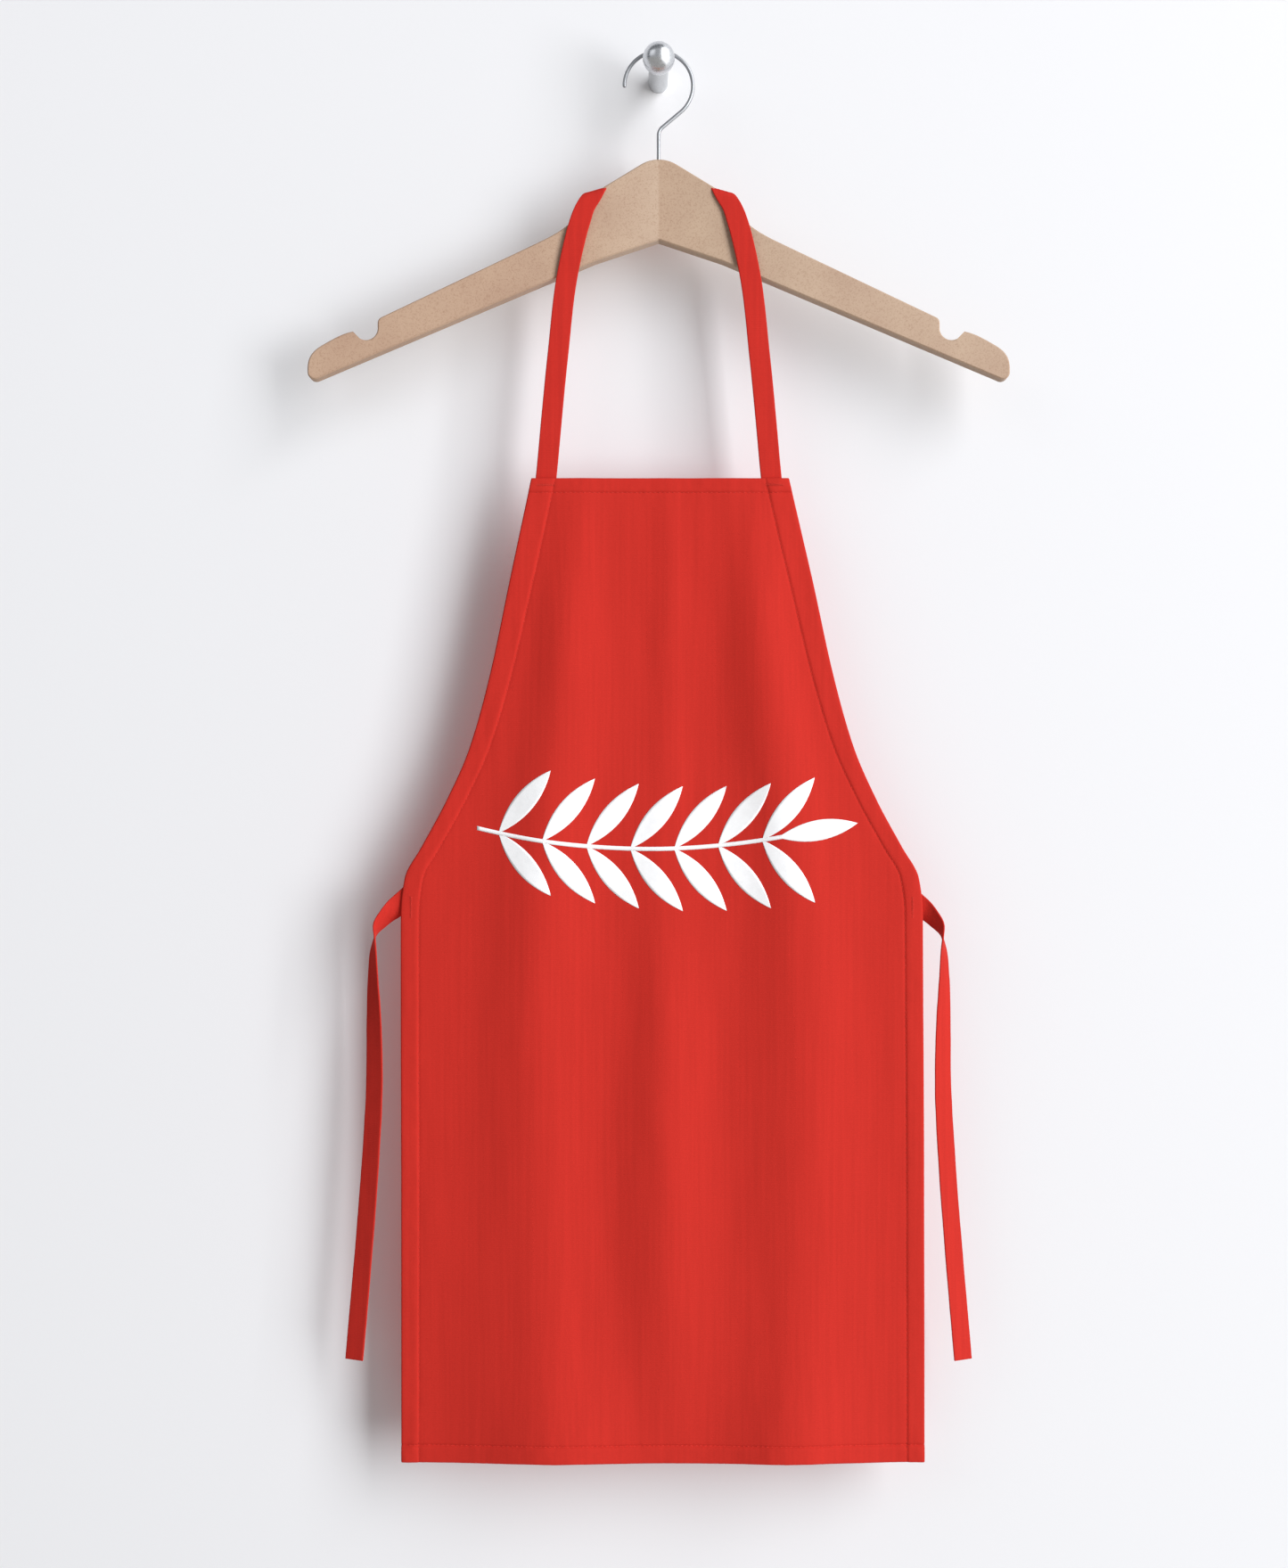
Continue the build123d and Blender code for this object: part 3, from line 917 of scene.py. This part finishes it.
def ink_shape(outline, count_along, count_across):
    """A film of ink on the cloth: outline(s, t) gives (x, z) for s along and t across, both -1 to 1."""
    bm, column, row = grid_piece(count_along, count_across)
    s = column / (count_along - 1) * 2 - 1
    t = row / (count_across - 1) * 2 - 1
    x, z = outline(s, t)
    place_vertices(bm, cloth_point(x, z, relief(x, z) + print_lift))
    return bm


def leaf(root, lean):
    """The outline of a leaf with its foot on the stalk at root, leaning by an angle."""
    run = np.array([cos(lean), sin(lean)])

    def outline(s, t):
        along = (s + 1) / 2 * leaf_length
        wide = t * leaf_width / 2 * (1 - s**2)
        return (
            sprig_middle[0] + root + run[0] * along - run[1] * wide,
            sprig_middle[1] + stalk_height(root) + run[1] * along + run[0] * wide,
        )
    return outline


def stalk(s, t):
    """The outline of the curved stalk."""
    x = stalk_start + (stalk_end - stalk_start) * (s + 1) / 2
    return sprig_middle[0] + x, sprig_middle[1] + stalk_height(x) + t * stalk_width / 2


ink = new_material("white_screen_print_ink")
shapes = [ink_shape(stalk, *stalk_grid)]
for pair in range(leaf_pairs):
    for up in (1, -1):
        shapes.append(ink_shape(leaf(first_pair + pair_spacing * pair, up * pair_lean), *leaf_grid))
shapes.append(ink_shape(leaf(tip_root, tip_lean), *leaf_grid))
bm = bmesh.new()
for shape in shapes:
    mesh = bpy.data.meshes.new("ink_part")
    shape.to_mesh(mesh)
    shape.free()
    bm.from_mesh(mesh)
    bpy.data.meshes.remove(mesh)
sprig = finish_piece(bm, "sprig_ink", ink, "apron")
thicken(sprig, ink_thickness * mm)
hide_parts("printed_sprig")
print("sprig", len(sprig.data.polygons), "faces")

# %% [markdown]
# ## Cloth, tape and thread
# Cotton is matt, but its loose fibres catch light at grazing angles, which is what the sheen is for. The
# real cloth has about 24 threads to the centimetre. From this far away those would only shimmer, so the
# weave is drawn coarser, 1.3 mm apart, with very little relief. Faint upright streaks stand for the warp
# threads, which are never dyed quite evenly.

# %% Red cotton
# Metres from band to band of the wave texture at a scale of 1
band_spacing = 0.31


def cotton(material, light, dark, rib, relief_strength):
    """Woven cotton in two close reds, with ribs this far apart in metres."""
    tree, shader = opened(material)
    place = add_node(tree, "ShaderNodeTexCoord")
    upright = add_node(tree, "ShaderNodeMapping", [(place, "Object", "Vector")], Scale=(420, 420, 9))
    warp = add_node(
        tree, "ShaderNodeTexNoise", [(upright, "Vector", "Vector")], Scale=1, Detail=3, Roughness=0.6
    )
    tint = colour_ramp(tree, warp, "Fac", [(0.34, dark), (0.66, light)])
    slubs = speckle(tree, 700, 3)
    shaded = multiply(tree, 0.1, (tint, "Color"), (slubs, "Fac"))
    tree.links.new(shaded.outputs["Result"], shader.inputs["Base Color"])
    ribs = add_node(
        tree, "ShaderNodeTexWave", [(place, "Object", "Vector")], wave_type="BANDS",
        bands_direction="Z", Scale=band_spacing / rib, Distortion=2.5, Detail=3, Detail_Scale=4,
    )
    weave = emboss(tree, shader, ribs, relief_strength, 0.3 * mm)
    emboss(tree, shader, slubs, 0.16, 0.3 * mm, over=weave)
    set_up(
        shader, Roughness=0.86, Specular_IOR_Level=0.12, Sheen_Weight=0.06, Sheen_Roughness=0.45,
        Sheen_Tint=linear("e8746a"),
    )


cotton(red_cotton, "d13026", "ca2e24", 0.0013, 0.1)
cotton(red_tape, "d13026", "c82d24", 0.0011, 0.2)
cotton(thread, "de453a", "cf3a30", 0.0006, 0.4)

# %% White ink
tree, shader = opened(ink)
worn = speckle(tree, 260, 4)
ink_tint = colour_ramp(tree, worn, "Fac", [(0.3, "fafafa"), (0.6, "ffffff")])
tree.links.new(ink_tint.outputs["Color"], shader.inputs["Base Color"])
emboss(tree, shader, worn, 0.06, 0.2 * mm)
set_up(shader, Roughness=0.55)
print("ink on", sprig.name)

# %% [markdown]
# ## The hanger and its hardware
# The hanger is a dense fibreboard: pressed wood fibre, even in colour, with fine dark and pale flecks and
# no grain. Its two arms differ a little in tint, and that tint is painted light and shade: the left arm
# brightens towards the joint and the right arm is darker next to it, as light falls on arms turned a
# little differently. The wire and the knob are metal. The ball is polished and plated, so it mirrors the
# room as small bright and dark patches. The sleeve behind it is brushed before plating, and the wire is
# drawn steel with a softer shine.

# %% Fibreboard
fibreboard = new_material("fibreboard_pressed_and_sanded")
tree, shader = opened(fibreboard)
flecks = speckle(tree, 1100, 3, Roughness=0.7)
base = colour_ramp(tree, speckle(tree, 28, 3), "Fac", [(0.35, "c3a78f"), (0.65, "ccb299")])
# Painted light and shade: the left arm brightens towards the butt at x = 0, the right arm darkens next to
# it
place = add_node(tree, "ShaderNodeTexCoord")
axes = add_node(tree, "ShaderNodeSeparateXYZ", [(place, "Object", "Vector")])
outward = add_node(tree, "ShaderNodeMapRange", [(axes, "X", "Value")], From_Min=-0.1, From_Max=0.1)
left_arm_painted_light = [(0.0, "f3e9e4"), (0.3, "f4ede9"), (0.499, "ffffff")]
right_arm_painted_shade = [(0.501, "f1ebe6"), (0.7, "eeebe7"), (1.0, "f3efec")]
arm_light_and_shade = colour_ramp(tree, outward, "Result", left_arm_painted_light + right_arm_painted_shade)
fleck_tint = colour_ramp(tree, flecks, "Fac", [(0.3, "b98f74"), (0.5, "ffffff"), (0.75, "ffffff")])
# The board's colour multiplied by that painted light and shade of the two arms
board_with_painted_shade = multiply(tree, 1.0, (base, "Color"), (arm_light_and_shade, "Color"))
flecked = multiply(tree, 0.42, (board_with_painted_shade, "Result"), (fleck_tint, "Color"))
tree.links.new(flecked.outputs["Result"], shader.inputs["Base Color"])
emboss(tree, shader, flecks, 0.25, 0.2 * mm)
set_up(shader, Roughness=0.62)
print("fibreboard with", len(tree.nodes), "nodes")


# %% Metals, nylon and beech
def metal(name, colour, roughness, scratches):
    """A bare or plated metal with fine polishing marks of this strength."""
    material = new_material(name)
    tree, shader = opened(material)
    set_up(shader, Metallic=1.0, Base_Color=linear(colour))
    marks = speckle(tree, 700, 3)
    shine = colour_ramp(tree, marks, "Fac", [(0.3, "000000"), (0.7, "ffffff")])
    spread = add_node(
        tree, "ShaderNodeMapRange", [(shine, "Color", "Value")],
        To_Min=roughness * 0.8, To_Max=roughness * 1.3,
    )
    tree.links.new(spread.outputs["Result"], shader.inputs["Roughness"])
    emboss(tree, shader, marks, scratches, 0.1 * mm)
    return material


def plain(name, light, dark, scale, roughness):
    """A solid material in two close colours."""
    material = new_material(name)
    tree, shader = opened(material)
    grain = speckle(tree, scale, 4)
    tint = colour_ramp(tree, grain, "Fac", [(0.35, dark), (0.65, light)])
    tree.links.new(tint.outputs["Color"], shader.inputs["Base Color"])
    emboss(tree, shader, grain, 0.15, 0.3 * mm)
    set_up(shader, Roughness=roughness)
    return material


finishes = {
    "chrome": metal("brass_turned_polished_and_chrome_plated", "cfd1d4", 0.27, 0.01),
    "satin_chrome": metal("brass_tube_brushed_and_chrome_plated", "c4c6c8", 0.42, 0.01),
    "zinc_steel": metal("steel_thread_zinc_plated", "b9bcc0", 0.35, 0.15),
    "steel_wire": metal("steel_wire_drawn_and_plated", "9a9c9f", 0.42, 0.01),
    "nylon": plain("nylon_moulded_grey", "a9abad", "9c9ea1", 240, 0.5),
    "beech_dowel": plain("beech_turned", "d8b78f", "c59f76", 300, 0.6),
    "fibreboard": fibreboard,
}
hard_parts = {
    "knob_ball": "chrome", "knob_stem": "satin_chrome", "mounting_stud": "zinc_steel", "wall_plug": "nylon",
    "hook_wire": "steel_wire", "hook_collar": "steel_wire", "hanger_arm_left": "fibreboard",
    "hanger_arm_right": "fibreboard", "joint_dowels": "beech_dowel",
}
board_easing = 0.35
for name, finish in hard_parts.items():
    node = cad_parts[name]
    node.data.materials.clear()
    node.data.materials.append(finishes[finish])
for name in ("hanger_arm_left", "hanger_arm_right"):
    ease_edges(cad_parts[name], board_easing * mm)
print("finishes", sorted(finishes))
